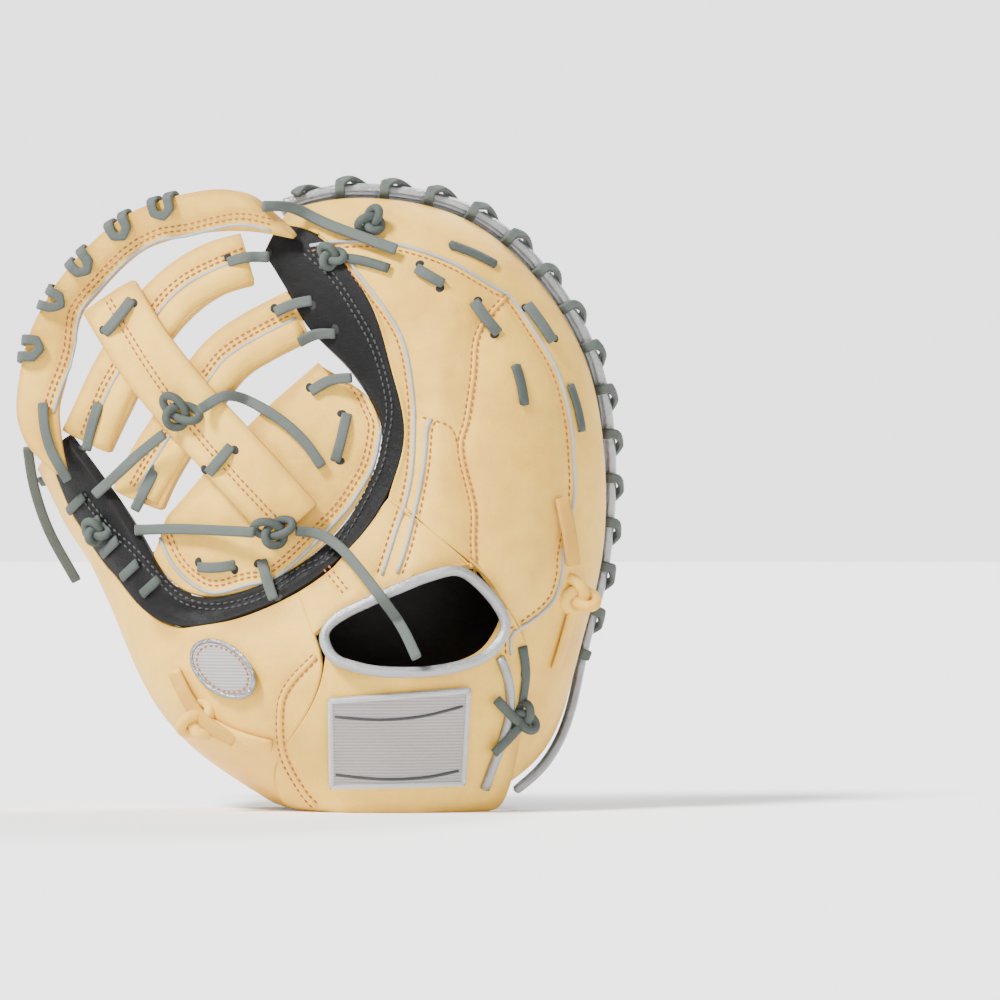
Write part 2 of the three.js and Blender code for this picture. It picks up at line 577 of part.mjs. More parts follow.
// A ribbon that lies on whatever is behind it, and spans the gaps in it.
const STEEPEST = 0.6; // depth for each unit of length along a ribbon
function layRibbon(route, width, thickness, gap, sides = 4, taper = () => 1) {
  const flat = route.map(([x, z]) => point(x, 0, z).setY(0));
  const plan = flat.length > 2 ? new THREE.CatmullRomCurve3(flat) : new THREE.LineCurve3(...flat);
  const steps = Math.max(2, Math.round(plan.getLength() / LACE_WIDTH));
  const step = plan.getLength() / steps;
  const stops = Array.from({ length: steps + 1 }, (_, k) => {
    const p = plan.getPointAt(k / steps);
    const heading = plan.getTangentAt(k / steps);
    const side = new THREE.Vector3(heading.z, 0, -heading.x).normalize();
    const size = (taper(k / steps) * width) / 2;
    const ends = [1, -1].map((way) => frontDepth(p.x + way * size * side.x, p.z + way * size * side.z));
    const depth = frontDepth(p.x, p.z);
    const [left, right] = ends.map((d) => clamp(d, depth - size, depth + size));
    const tilt = Number.isFinite(depth) ? clamp((left - right) / 2, -size / 2, size / 2) : 0;
    return { p, heading, side, size, depth, tilt };
  });
  if (!stops.some((stop) => Number.isFinite(stop.depth))) stops[0].depth = 0;
  const limit = () => {
    for (let k = 1; k <= steps; k++)
      stops[k].depth = Math.min(stops[k].depth, stops[k - 1].depth + STEEPEST * step);
    for (let k = steps - 1; k >= 0; k--)
      stops[k].depth = Math.min(stops[k].depth, stops[k + 1].depth + STEEPEST * step);
  };
  limit();
  // Each stop comes forward until the flat of the ribbon there is clear of everything under it.
  const forward = stops.map(({ p, heading, side, size, depth, tilt }, k) => {
    const before = stops[Math.max(k - 1, 0)].depth;
    const after = stops[Math.min(k + 1, steps)].depth;
    const rise = (after - before) / (Math.min(k + 1, steps) - Math.max(k - 1, 0));
    let least = 0;
    for (const a of SPREAD)
      for (const b of SPREAD) {
        const x = p.x + a * step * heading.x + b * (size + CLEARANCE) * side.x;
        const z = p.z + a * step * heading.z + b * (size + CLEARANCE) * side.z;
        least = Math.min(least, frontDepth(x, z) - (depth + a * rise + b * tilt));
      }
    return least;
  });
  stops.forEach((stop, k) => {
    stop.depth += forward[k];
  });
  limit();
  for (const stop of stops) stop.p.y = stop.depth - gap - thickness / 2;
  const rings = stops.map(({ p, side, size, tilt }, k) => {
    const heading = stops[Math.min(k + 1, steps)].p.clone().sub(stops[Math.max(k - 1, 0)].p);
    const wide = side.clone().multiplyScalar(size);
    wide.y = tilt;
    const thick = heading.cross(wide).normalize();
    return oval(p, wide, thick.multiplyScalar((taper(k / steps) * thickness) / 2), sides, sides > 4 ? 0.55 : 0.01);
  });
  const geometry = loft(rings);
  const move = settle(geometry);
  const centres = stops.map((stop) => stop.p);
  for (const p of centres) p.y += move;
  return { geometry, centres };
}

// A flat patch whose outline is given by a function of two shares from 0 to 1.
function layPatch(columns, rows, place) {
  const depth = (a, b) => {
    const [x, z] = place(a, b);
    return frontDepth(x * WIDTH, z * HEIGHT);
  };
  const grid = Array.from({ length: columns + 1 }, (_, i) =>
    Array.from({ length: rows + 1 }, (_, j) => depth(i / columns, j / rows))
  );
  let least = 0;
  for (let i = 0; i < columns; i++)
    for (let j = 0; j < rows; j++)
      for (const [a, b] of [[0.5, 0.5], [0.5, 0], [0, 0.5], [0.25, 0.75], [0.75, 0.25]]) {
        const near = lerp(grid[i][j], grid[i + 1][j], a);
        const far = lerp(grid[i][j + 1], grid[i + 1][j + 1], a);
        least = Math.min(least, depth((i + a) / columns, (j + b) / rows) - lerp(near, far, b));
      }
  const face = (i, j) => {
    const [x, z] = place(i / columns, j / rows);
    const p = point(x, 0, z);
    p.y = grid[i][j] + least - 5 * CLEARANCE - PATCH_THICKNESS;
    return p;
  };
  const geometry = sheet(columns, rows, face, () => PATCH_THICKNESS);
  settle(geometry);
  return geometry;
}
const WRIST_PATCH = [[0.04, 0.185], [0.278, 0.201], [0.268, 0.042], [0.04, 0.038]]; // its corners
function wristPatch(a, b) {
  const [topLeft, topRight, lowRight, lowLeft] = WRIST_PATCH;
  return [0, 1].map((k) => lerp(lerp(topRight[k], topLeft[k], a), lerp(lowRight[k], lowLeft[k], a), b));
}
add('wrist_patch', layPatch(8, 6, wristPatch), patchCloth);

// The thumb's oval badge, tilted along the thumb.
const BADGE = { x: -0.137, z: 0.23, long: 0.062, short: 0.039, tilt: -0.62 };
function thumbBadge(a, b) {
  const [p, q] = [1 - 2 * a, 1 - 2 * b];
  const lengthwise = BADGE.long * WIDTH * p * Math.sqrt(1 - (q * q) / 2);
  const across = BADGE.short * WIDTH * q * Math.sqrt(1 - (p * p) / 2);
  const x = lengthwise * Math.cos(BADGE.tilt) - across * Math.sin(BADGE.tilt);
  const z = lengthwise * Math.sin(BADGE.tilt) + across * Math.cos(BADGE.tilt);
  return [BADGE.x + x / WIDTH, BADGE.z + z / HEIGHT];
}
add('thumb_patch', layPatch(6, 6, thumbBadge), patchCloth);

// The binding round the wrist opening.
function openingBinding() {
  const edge = (place, share, r) => {
    const { u, v } = place(share, r);
    const s = section(u);
    return backPoint(u, v).addScaledVector(s.outward, BEAD_RADIUS + 5 * CLEARANCE);
  };
  const points = [];
  for (let k = 0; k <= 8; k++) points.push(edge(knucklePanel, lerp(0.06, 0.94, k / 8), 1));
  for (let k = 0; k <= 8; k++) points.push(edge(strap, lerp(0.97, 0.03, k / 8), 0));
  const path = new THREE.CatmullRomCurve3(points, true);
  const rings = Array.from({ length: 32 }, (_, k) => {
    const p = path.getPointAt(k / 32);
    const side = path.getTangentAt(k / 32).cross(BACKWARD).normalize();
    const thick = path.getTangentAt(k / 32).cross(side).normalize();
    return oval(p, side.multiplyScalar(BEAD_RADIUS), thick.multiplyScalar(BEAD_RADIUS), BEAD_SIDES, 1);
  });
  return loft(rings, true);
}
add('opening_binding', openingBinding(), silverLeather);

// A lace through a list of stops, each with the way that its flat side faces.
function wrapped(stops) {
  const last = stops.length - 1;
  const rings = stops.map(({ p, out }, k) => {
    const heading = stops[Math.min(k + 1, last)].p.clone().sub(stops[Math.max(k - 1, 0)].p);
    const wide = heading.clone().cross(out).normalize();
    const thin = wide.clone().cross(heading).normalize().multiplyScalar(LACE_THICKNESS / 2);
    wide.multiplyScalar(LACE_WIDTH / 2);
    const ring = [[1, 1], [-1, 1], [-1, -1], [1, -1]];
    return ring.map(([a, b]) => p.clone().addScaledVector(wide, a).addScaledVector(thin, b).max(FLOOR));
  });
  return loft(rings);
}

// The lace along the top of the web: double turns over the band's outer edge, joined on the pocket side.
const BAND_LOOPS = [0.205, 0.3, 0.4, 0.495, 0.59]; // shares of the way along the band
const LOOP_SPREAD = 0.85 * LACE_WIDTH; // half the distance between a double turn's strands
const LOOP_DEPTH = 1.1 * LACE_WIDTH; // in from the band's edge
function bandLace() {
  const away = BAR_THICKNESS / 2 + LACE_THICKNESS / 2 + 4 * CLEARANCE;
  const edge = LACE_THICKNESS / 2 + 3 * CLEARANCE;
  const stop = (t, inwards, backwards) => {
    const { outer, wide, back } = bandFrame(t);
    const out = wide.clone().normalize();
    const p = outer.clone().addScaledVector(out, -inwards).addScaledVector(back, backwards * away);
    return { p, out: backwards === 0 ? out : back.clone().multiplyScalar(Math.sign(backwards)) };
  };
  const stops = [];
  BAND_LOOPS.forEach((t, n) => {
    const speed = bandOuter.getPoint(t + 0.005).distanceTo(bandOuter.getPoint(t - 0.005)) / 0.01;
    const spread = LOOP_SPREAD / speed;
    const turn = (at) => [
      stop(at, LOOP_DEPTH, -1), stop(at, 0, -1), stop(at, -edge, 0), stop(at, 0, 1), stop(at, LOOP_DEPTH, 1),
    ];
    if (n > 0) {
      const before = BAND_LOOPS[n - 1] + spread;
      for (const share of [0.25, 0.5, 0.75]) stops.push(stop(lerp(before, t - spread, share), 1.4 * LOOP_DEPTH, -1));
    }
    stops.push(...turn(t - spread), stop(t, 1.5 * LOOP_DEPTH, 1), ...turn(t + spread).reverse());
  });
  return wrapped(stops);
}
add('web_band_lace', bandLace(), laceLeather);

// Whip stitch: one lace round the binding in slanting turns, straight across behind it.
const STEPS_PER_TURN = 8;
function whipLace(from, to, depth, thick) {
  const lengths = [0];
  const samples = 60;
  for (let k = 1; k <= samples; k++) {
    const a = rimPoint(lerp(from, to, (k - 1) / samples), depth(from)).p;
    lengths.push(lengths[k - 1] + a.distanceTo(rimPoint(lerp(from, to, k / samples), depth(from)).p));
  }
  const total = lengths[samples];
  const turns = Math.max(1, Math.round(total / LACE_PITCH));
  const uAt = (share) => {
    const k = clamp(lengths.findIndex((l) => l >= share * total), 1, samples);
    const rest = (share * total - lengths[k - 1]) / (lengths[k] - lengths[k - 1]);
    return lerp(from, to, (k - 1 + rest) / samples);
  };
  const reach = 4 * CLEARANCE + LACE_THICKNESS / 2;
  const place = (k) => {
    const angle = (2 * Math.PI * k) / STEPS_PER_TURN;
    const turn = Math.floor(k / STEPS_PER_TURN);
    const part = clamp((2 * (k % STEPS_PER_TURN)) / STEPS_PER_TURN, 0, 1);
    const u = uAt(clamp((turn + part) / turns, 0, 1));
    const { p, across, towards } = rimPoint(u, depth(u));
    const bend = (c) => Math.sign(c) * Math.abs(c) ** 0.6;
    const a = bend(Math.cos(angle)) * (thick(u) / 2 + reach);
    const b = bend(Math.sin(angle)) * (BEAD_RADIUS + reach);
    const out = towards.clone().multiplyScalar(Math.cos(angle)).addScaledVector(across, Math.sin(angle));
    return { p: p.addScaledVector(towards, a).addScaledVector(across, b), out: out.normalize() };
  };
  return wrapped(Array.from({ length: turns * STEPS_PER_TURN + 1 }, (_, k) => place(k)));
}
const bothBeads = (u) => rimGap(u) / 2;
add('finger_rim_lace', whipLace(0.25, 5.1, bothBeads, rimGap), laceLeather);
add('heel_lace', whipLace(5.9, 11.5, () => BEAD_RADIUS, () => RIM_BEAD), laceLeather);
add('thumb_rim_lace', whipLace(12.8, 16.8, bothBeads, rimGap), laceLeather);

// Short laces through the leather, as they lie on the back: where each goes, in shares of WIDTH and HEIGHT.
const STAPLES = {
  post_lace_top: [[-0.295, 0.821], [-0.318, 0.792], [-0.343, 0.765]],
  post_lace_middle: [[-0.124, 0.585], [-0.144, 0.562], [-0.164, 0.54]],
  base_lace_right: [[0.069, 0.637], [0.06, 0.597], [0.049, 0.559]],
  base_lace_left: [[-0.183, 0.391], [-0.151, 0.39], [-0.117, 0.395]],
  finger_lace_top: [[0.184, 0.869], [0.208, 0.855], [0.231, 0.843]],
  finger_lace_side: [[0.281, 0.816], [0.302, 0.788], [0.323, 0.764]],
  finger_lace_rim: [[0.37, 0.813], [0.394, 0.783], [0.415, 0.752]],
  bar_lace_upper: [[-0.134, 0.879], [-0.101, 0.888], [-0.064, 0.888]],
  bar_lace_middle: [[-0.054, 0.799], [-0.023, 0.812], [0.01, 0.818]],
  bar_lace_lower: [[-0.013, 0.751], [0.017, 0.764], [0.05, 0.764]],
  base_lace_tip: [[0.007, 0.671], [0.04, 0.69], [0.077, 0.693]],
  thumb_lace_upper: [[-0.352, 0.655], [-0.365, 0.617], [-0.375, 0.578]],
  thumb_lace_lower: [[-0.251, 0.553], [-0.271, 0.518], [-0.291, 0.482]],
  finger_tip_lace: [[-0.074, 0.968], [-0.027, 0.968], [0.032, 0.942], [0.094, 0.919], [0.152, 0.898]],
  thumb_tip_lace: [[-0.449, 0.655], [-0.446, 0.618], [-0.434, 0.578], [-0.405, 0.53]],
  base_lace_bottom: [[-0.074, 0.403], [-0.064, 0.371], [-0.052, 0.339]],
};
for (const [name, route] of Object.entries(STAPLES))
  add(name, layRibbon(route, LACE_WIDTH, LACE_THICKNESS, 4 * CLEARANCE).geometry, laceLeather);

// Knots: each a short thick turn of lace.
const KNOTS = {
  post_knot: [[-0.228, 0.62], [-0.214, 0.637], [-0.199, 0.657]],
  base_knot: [[-0.069, 0.45], [-0.054, 0.449], [-0.037, 0.455]],
  finger_tip_knot: [[0.096, 0.957], [0.109, 0.946], [0.121, 0.933]],
  thumb_knot: [[-0.372, 0.457], [-0.358, 0.447], [-0.343, 0.439]],
  wrist_knot: [[0.36, 0.166], [0.365, 0.15], [0.369, 0.133]],
};
const bulge = (share) => 0.55 + 0.45 * Math.sin(Math.PI * share);
for (const [name, route] of Object.entries(KNOTS))
  add(name, layRibbon(route, 1.9 * LACE_WIDTH, 2.6 * LACE_THICKNESS, 2 * CLEARANCE, 8, bulge).geometry, laceLeather);

// Ties of the back's own leather, beside the thumb and below the little finger.
const TIES = {
  thumb_tie: [[-0.221, 0.224], [-0.198, 0.182], [-0.168, 0.144], [-0.117, 0.115]],
  finger_tie: [[0.429, 0.502], [0.441, 0.447], [0.449, 0.393]],
};
for (const [name, route] of Object.entries(TIES))
  add(name, layRibbon(route, 1.3 * LACE_WIDTH, LACE_THICKNESS, 2 * CLEARANCE).geometry, backLeather);

// Free lace ends.
const LACE_ENDS = {
  post_lace_end_short: [[-0.238, 0.604], [-0.278, 0.575], [-0.32, 0.54], [-0.36, 0.506]],
  post_lace_end_long: [[-0.178, 0.642], [-0.131, 0.666], [-0.059, 0.637], [-0.003, 0.593], [0.028, 0.551]],
  base_lace_end_left: [[-0.084, 0.447], [-0.152, 0.45], [-0.224, 0.452], [-0.291, 0.45]],
  base_lace_end_right: [[-0.015, 0.449], [0.025, 0.444], [0.057, 0.425], [0.09, 0.391], [0.136, 0.335], [0.166, 0.292], [0.188, 0.249]],
  thumb_lace_end: [[-0.486, 0.585], [-0.479, 0.524], [-0.457, 0.45], [-0.412, 0.364]],
};
const endRoutes = {};
for (const [name, route] of Object.entries(LACE_ENDS)) {
  const { geometry, centres } = layRibbon(route, LACE_WIDTH, LACE_THICKNESS, 4 * CLEARANCE);
  add(name, geometry, laceLeather);
  endRoutes[name] = centres;
}

// Stands centred over the origin: the middle of the mitt without its free lace ends.
mitt.updateMatrixWorld(true);
const bounds = new THREE.Box3();
for (const mesh of mitt.children) if (!(mesh.name in endRoutes)) bounds.expandByObject(mesh);
const shift = bounds.getCenter(new THREE.Vector3()).negate();
shift.z = -bounds.min.z;
for (const mesh of mitt.children) mesh.geometry.translate(shift.x, shift.y, shift.z);

export default mitt;
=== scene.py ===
import math

import bmesh
import bpy
from mathutils import Matrix, Vector, noise
from mathutils.bvhtree import BVHTree
from mathutils.kdtree import KDTree


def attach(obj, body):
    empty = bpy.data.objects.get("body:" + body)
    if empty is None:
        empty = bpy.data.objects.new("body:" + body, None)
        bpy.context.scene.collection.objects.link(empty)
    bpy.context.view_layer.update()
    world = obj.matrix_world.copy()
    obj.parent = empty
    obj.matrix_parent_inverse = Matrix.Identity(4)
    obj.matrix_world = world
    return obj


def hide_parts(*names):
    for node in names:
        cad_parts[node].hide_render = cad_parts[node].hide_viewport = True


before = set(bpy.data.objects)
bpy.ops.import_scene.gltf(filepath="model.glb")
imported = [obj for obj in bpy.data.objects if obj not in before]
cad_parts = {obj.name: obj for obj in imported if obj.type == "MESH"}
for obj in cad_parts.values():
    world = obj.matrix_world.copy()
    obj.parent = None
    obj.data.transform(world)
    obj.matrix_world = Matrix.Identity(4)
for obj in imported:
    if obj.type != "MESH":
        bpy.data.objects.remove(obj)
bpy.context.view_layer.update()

# The camera: a long lens level with the middle of the mitt, so that its back is seen almost square on.
# The mitt stands in the left part of the frame.
FRAME_PIXELS = 1000
METRES_PER_PIXEL = 0.000476
LENS_DISTANCE = 2.97
camera_data = bpy.data.cameras.new("camera")
camera_data.sensor_width = 36
camera_data.lens = 36 * LENS_DISTANCE / (FRAME_PIXELS * METRES_PER_PIXEL)
camera_data.clip_end = 50
camera = bpy.data.objects.new("camera", camera_data)
camera.location = (0.0867, -3.0, 0.1485)
camera.rotation_euler = (math.radians(90), 0, 0)
bpy.context.scene.collection.objects.link(camera)
bpy.context.scene.camera = camera


# Free lace ends: rawhide laces 5 mm wide, dyed grey, each coming out of a knot and left long.
# They keep the bends that they were pulled to, and lie on the leather or hang beside the thumb.
class Tone:
    """One output of a finish, with the arithmetic of Math nodes."""

    def __init__(self, finish, socket):
        self.finish = finish
        self.socket = socket

    def _math(self, kind, first, second):
        return self.finish.node("ShaderNodeMath", {"operation": kind}, {0: first, 1: second})

    def __add__(self, other):
        return self._math("ADD", self, other)

    __radd__ = __add__

    def __sub__(self, other):
        return self._math("SUBTRACT", self, other)

    def __rsub__(self, other):
        return self._math("SUBTRACT", other, self)

    def __mul__(self, other):
        return self._math("MULTIPLY", self, other)

    __rmul__ = __mul__

    def between(self, low, high):
        """0 below low and 1 above high."""
        ends = {"Value": self, "From Min": low, "From Max": high}
        return self.finish.node("ShaderNodeMapRange", {"clamp": True}, ends)


class Finish:
    """A material under construction."""

    def __init__(self, name, slot=""):
        self.material = bpy.data.materials.new(name)
        self.material["slot"] = slot
        self.material.use_nodes = True
        self.tree = self.material.node_tree
        self.shader = self.tree.nodes["Principled BSDF"]

    def node(self, kind, settings=None, sockets=None, output=0):
        made = self.tree.nodes.new(kind)
        for name, value in (settings or {}).items():
            setattr(made, name, value)
        for name, value in (sockets or {}).items():
            if isinstance(value, Tone):
                self.tree.links.new(value.socket, made.inputs[name])
            else:
                made.inputs[name].default_value = value
        return Tone(self, made.outputs[output])

    def places(self, stretch=(1, 1, 1)):
        here = self.node("ShaderNodeTexCoord", output="Object")
        return self.node("ShaderNodeMapping", None, {"Vector": here, "Scale": stretch})

    def clouds(self, size, detail=4.0, roughness=0.55, stretch=(1, 1, 1)):
        sockets = {"Vector": self.places(stretch), "Scale": 1 / size, "Detail": detail, "Roughness": roughness}
        return self.node("ShaderNodeTexNoise", None, sockets)

    def grain(self, size, stretch=(1, 1, 1)):
        sockets = {"Vector": self.places(stretch), "Scale": 1 / size}
        return self.node("ShaderNodeTexVoronoi", {"feature": "DISTANCE_TO_EDGE"}, sockets)

    def blend(self, tone, first, second):
        pick = [(*c, 1) if isinstance(c, tuple) else c for c in (first, second)]
        return self.node("ShaderNodeMix", {"data_type": "RGBA"}, {0: tone, 6: pick[0], 7: pick[1]}, 2)

    def done(self, colour, roughness, relief, height, constants=None):
        for name, value in (constants or {}).items():
            self.shader.inputs[name].default_value = value
        bump = self.node("ShaderNodeBump", None, {"Height": relief, "Distance": height, "Strength": 1.0})
        for name, value in {"Base Color": colour, "Roughness": roughness, "Normal": bump}.items():
            if isinstance(value, Tone):
                self.tree.links.new(value.socket, self.shader.inputs[name])
            else:
                self.shader.inputs[name].default_value = value
        return self.material


def leather(name, slot, light, dark, edge, pore=0.0011, creases=0.3, height=0.0005, gloss=0.42, constants=None):
    finish = Finish(name, slot)
    patches = finish.clouds(0.055, 3).between(0.3, 0.62)
    mottle = finish.clouds(0.009, 5, 0.7).between(0.3, 0.75)
    # Near sharp edges the colour turns towards edge. On the camel leather this darker rim is partly burnished wear
    # and partly painted shade where the form turns from the light.
    wear_and_shade = finish.node("ShaderNodeAttribute", {"attribute_name": "edge_wear_and_shade"}, None, "Fac").between(0.35, 1.0)
    colour = finish.blend(patches * 0.65 + mottle * 0.35, dark, light)
    colour = finish.blend(wear_and_shade * 0.55, colour, edge)
    pores = finish.grain(pore).between(0.0, 0.14)
    folds = finish.clouds(0.012, 6, 0.62, (1, 1, 1.6)).between(0.38, 0.62)
    relief = pores * 0.14 + folds * creases + finish.clouds(0.03, 2) * 0.8
    roughness = gloss + patches * 0.1 + mottle * 0.08 + wear_and_shade * 0.08
    return finish.done(colour, roughness, relief, height, constants)


rawhide = leather(
    "rawhide", "lace_leather", (0.068, 0.082, 0.072), (0.032, 0.04, 0.035), (0.1, 0.115, 0.103), 0.0007, 0.5, 0.0004,
    0.5, {"Specular IOR Level": 0.25},
)


def meshed(name, bm, finish, node=None):
    """A finished piece from a bmesh: smooth, one finish, riding on the mitt."""
    mesh = bpy.data.meshes.new(name)
    bm.to_mesh(mesh)
    bm.free()
    mesh.materials.append(finish)
    mesh.polygons.foreach_set("use_smooth", [True] * len(mesh.polygons))
    piece = bpy.data.objects.new(name, mesh)
    bpy.context.scene.collection.objects.link(piece)
    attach(piece, "root")
    if node:
        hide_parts(node)
    return piece


SHARP = math.radians(48)
FLAT = math.radians(60)
WELD = 0.00002
DIVE_SHARE = 0.12
solids = {}


def solid_surface(node):
    if node not in solids:
        bm = bmesh.new()
        bm.from_mesh(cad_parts[node].data)
        solids[node] = BVHTree.FromBMesh(bm)
        bm.free()
    return solids[node]


def far_ends(spots):
    """The two spots that lie farthest apart."""
    return max(((a, b) for a in spots for b in spots), key=lambda ends: (ends[0] - ends[1]).length)


def waves(spot):
    """Slow waves with smaller ones on them, between about -1 and 1."""
    return noise.noise(spot * 32) + 0.4 * noise.noise(spot * 90)


def supple(node, name, finish, levels=2, meets=(), dive=0.0, ripple=0.0, firm=0.45):
    """A soft copy of a solid. Its edges can meet other solids' and its ends can dive into the leather behind."""
    bm = bmesh.new()
    bm.from_mesh(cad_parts[node].data)
    bmesh.ops.remove_doubles(bm, verts=bm.verts, dist=WELD)
    bmesh.ops.join_triangles(bm, faces=bm.faces, angle_face_threshold=FLAT, angle_shape_threshold=FLAT)
    # Vertices on sharp edges are marked for the leather's edge tone. This is wear, and on the camel it is also
    # painted shade.
    wear_and_shade_marks = bm.verts.layers.float.new("edge_wear_and_shade")
    crease = bm.edges.layers.float.new("crease_edge")
    for edge in bm.edges:
        if edge.calc_face_angle(0) > SHARP:
            edge[crease] = firm
            for vert in edge.verts:
                vert[wear_and_shade_marks] = 1
    for other, reach, share in meets:
        other_side = solid_surface(other)
        for vert in bm.verts:
            if vert[wear_and_shade_marks] == 1:
                spot = other_side.find_nearest(vert.co, reach)[0]
                if spot:
                    vert.co = vert.co.lerp(spot, share)
                    vert[wear_and_shade_marks] = 0.3
    if dive:
        first, last = far_ends([v.co for v in bm.verts])
        run = last - first
        for vert in bm.verts:
            share = (vert.co - first).dot(run) / run.length_squared
            if min(share, 1 - share) < DIVE_SHARE:
                vert.co.y += dive
    piece = meshed(name, bm, finish, node)
    soften = piece.modifiers.new("soften", "SUBSURF")
    soften.levels = levels
    soften.render_levels = levels
    shaped = bpy.data.meshes.new_from_object(piece.evaluated_get(bpy.context.evaluated_depsgraph_get()))
    piece.modifiers.clear()
    piece.data = shaped
    if firm == 1:
        shaped.set_sharp_from_angle(angle=SHARP)
    if ripple:
        normals = [v.normal.copy() for v in shaped.vertices]
        for vert, normal in zip(shaped.vertices, normals):
            vert.co += normal * ripple * waves(vert.co)
    return piece


LACE_WIDTH = 0.005
LACE_THICKNESS = 0.0022
LACE_ENDS = {
    "post_lace_end_short": [
        (-0.0732, -0.0303, 0.1800), (-0.0773, -0.0273, 0.1770), (-0.0813, -0.0243, 0.1739),
        (-0.0852, -0.0213, 0.1708), (-0.0891, -0.0183, 0.1675), (-0.0928, -0.0152, 0.1642),
        (-0.0966, -0.0122, 0.1608), (-0.1004, -0.0097, 0.1575), (-0.1041, -0.0087, 0.1541),
        (-0.1079, -0.0064, 0.1508),
    ],
    "post_lace_end_long": [
        (-0.0562, -0.0362, 0.1913), (-0.0521, -0.0332, 0.1940), (-0.0480, -0.0330, 0.1968),
        (-0.0434, -0.0329, 0.1984), (-0.0386, -0.0299, 0.1979), (-0.0339, -0.0270, 0.1962),
        (-0.0295, -0.0291, 0.1940), (-0.0253, -0.0320, 0.1916), (-0.0211, -0.0328, 0.1890),
        (-0.0170, -0.0339, 0.1862), (-0.0132, -0.0350, 0.1831), (-0.0096, -0.0358, 0.1798),
        (-0.0061, -0.0367, 0.1763), (-0.0031, -0.0375, 0.1724), (-0.0004, -0.0379, 0.1683),
        (0.0023, -0.0381, 0.1642),
    ],
    "base_lace_end_left": [
        (-0.0295, -0.0458, 0.1332), (-0.0344, -0.0429, 0.1334), (-0.0393, -0.0399, 0.1337),
        (-0.0442, -0.0370, 0.1339), (-0.0491, -0.0341, 0.1341), (-0.0540, -0.0311, 0.1343),
        (-0.0589, -0.0282, 0.1345), (-0.0638, -0.0252, 0.1346), (-0.0687, -0.0223, 0.1347),
        (-0.0736, -0.0194, 0.1346), (-0.0785, -0.0164, 0.1345), (-0.0834, -0.0144, 0.1343),
        (-0.0883, -0.0145, 0.1341),
    ],
    "base_lace_end_right": [
        (-0.0099, -0.0457, 0.1338), (-0.0048, -0.0430, 0.1334), (0.0002, -0.0436, 0.1327),
        (0.0049, -0.0467, 0.1307), (0.0091, -0.0498, 0.1278), (0.0130, -0.0528, 0.1244),
        (0.0164, -0.0559, 0.1206), (0.0197, -0.0590, 0.1167), (0.0230, -0.0620, 0.1128),
        (0.0262, -0.0651, 0.1088), (0.0293, -0.0682, 0.1048), (0.0324, -0.0670, 0.1007),
        (0.0354, -0.0639, 0.0965), (0.0382, -0.0613, 0.0923), (0.0410, -0.0644, 0.0879),
        (0.0434, -0.0675, 0.0835), (0.0456, -0.0705, 0.0788), (0.0477, -0.0736, 0.0742),
    ],
    "thumb_lace_end": [
        (-0.1437, 0.0430, 0.1743), (-0.1432, 0.0460, 0.1694), (-0.1428, 0.0490, 0.1644),
        (-0.1422, 0.0520, 0.1594), (-0.1414, 0.0550, 0.1545), (-0.1403, 0.0580, 0.1496),
        (-0.1390, 0.0610, 0.1448), (-0.1375, 0.0640, 0.1400), (-0.1359, 0.0670, 0.1353),
        (-0.1340, 0.0700, 0.1307), (-0.1319, 0.0730, 0.1262), (-0.1296, 0.0760, 0.1217),
        (-0.1273, 0.0790, 0.1173), (-0.1249, 0.0820, 0.1129), (-0.1227, 0.0850, 0.1085),
    ],
}
for node, route in LACE_ENDS.items():
    loose = supple(node, node.replace("_end", "_tail"), rawhide)
    stops = [Vector(p) for p in route]
    length = sum((b - a).length for a, b in zip(stops, stops[1:]))


# The hand: a black palm of steerhide over felt, folded over beside the web, and a camel back of four panels.
# The panels are sewn edge to edge and to the palm's fold, so their seams are closed here.
# The camel's edge colour is darker than its dark tone. It is partly burnished wear and partly painted shade at the
# edges.
camel = leather(
    "camel_leather", "back_leather", (0.87, 0.54, 0.08), (0.6, 0.31, 0.032), (0.36, 0.17, 0.02), gloss=0.42,
    constants={"Specular IOR Level": 0.3},
)
black = leather(
    "black_leather", "palm_leather", (0.005, 0.0048, 0.005), (0.0025, 0.0025, 0.0028), (0.012, 0.011, 0.011),
    creases=0.4, gloss=0.4, constants={"Specular IOR Level": 0.14},
)
palm = supple("palm", "palm_leather", black, 3, ripple=0.0004)
PANELS = {
    "finger_back": [("knuckle_panel", 0.005, 0.6), ("wrist_strap", 0.005, 0.6), ("palm", 0.0018, 0.9)],
    "knuckle_panel": [("finger_back", 0.005, 0.6), ("thumb_back", 0.005, 0.6), ("palm", 0.0018, 0.9)],
    "wrist_strap": [("finger_back", 0.005, 0.6), ("thumb_back", 0.009, 0.5)],
    "thumb_back": [("knuckle_panel", 0.005, 0.6), ("wrist_strap", 0.009, 0.5), ("palm", 0.0018, 0.9)],
}
back = {}
for node, meets in PANELS.items():
    back[node] = supple(node, node + "_leather", camel, 3, meets, firm=1)

# The web: a folded band along the top, two folded bars, a half-moon base and the post over them.
# All are camel leather, laced to each other and to the palm's fold.
WEB = {
    "web_band": [],
    "web_bar_upper": [("palm", 0.0025, 0.9)],
    "web_bar_lower": [("palm", 0.0025, 0.9)],
    "web_base": [("palm", 0.003, 0.95)],
    "web_post": [],
}
web = {node: supple(node, node + "_leather", camel, 3, meets, ripple=0.0003) for node, meets in WEB.items()}

# The rim: two rolled bindings of silver coated leather side by side, and one round the wrist opening.
# Rawhide is whipped round the pair from the fingertip to the thumb.
silver = leather(
    "silver_leather", "silver_leather", (0.34, 0.345, 0.35), (0.17, 0.175, 0.18), (0.4, 0.405, 0.41), 0.0008,
    0.5, 0.0006, 0.22, {"Metallic": 0.88},
)
for node in ("palm_rim_binding", "finger_rim_binding", "thumb_rim_binding", "opening_binding"):
    supple(node, node + "_roll", silver)
for node in ("finger_rim_lace", "heel_lace", "thumb_rim_lace", "web_band_lace", "finger_tip_lace", "thumb_tip_lace"):
    supple(node, node + "_whip", rawhide, ripple=0.0002)

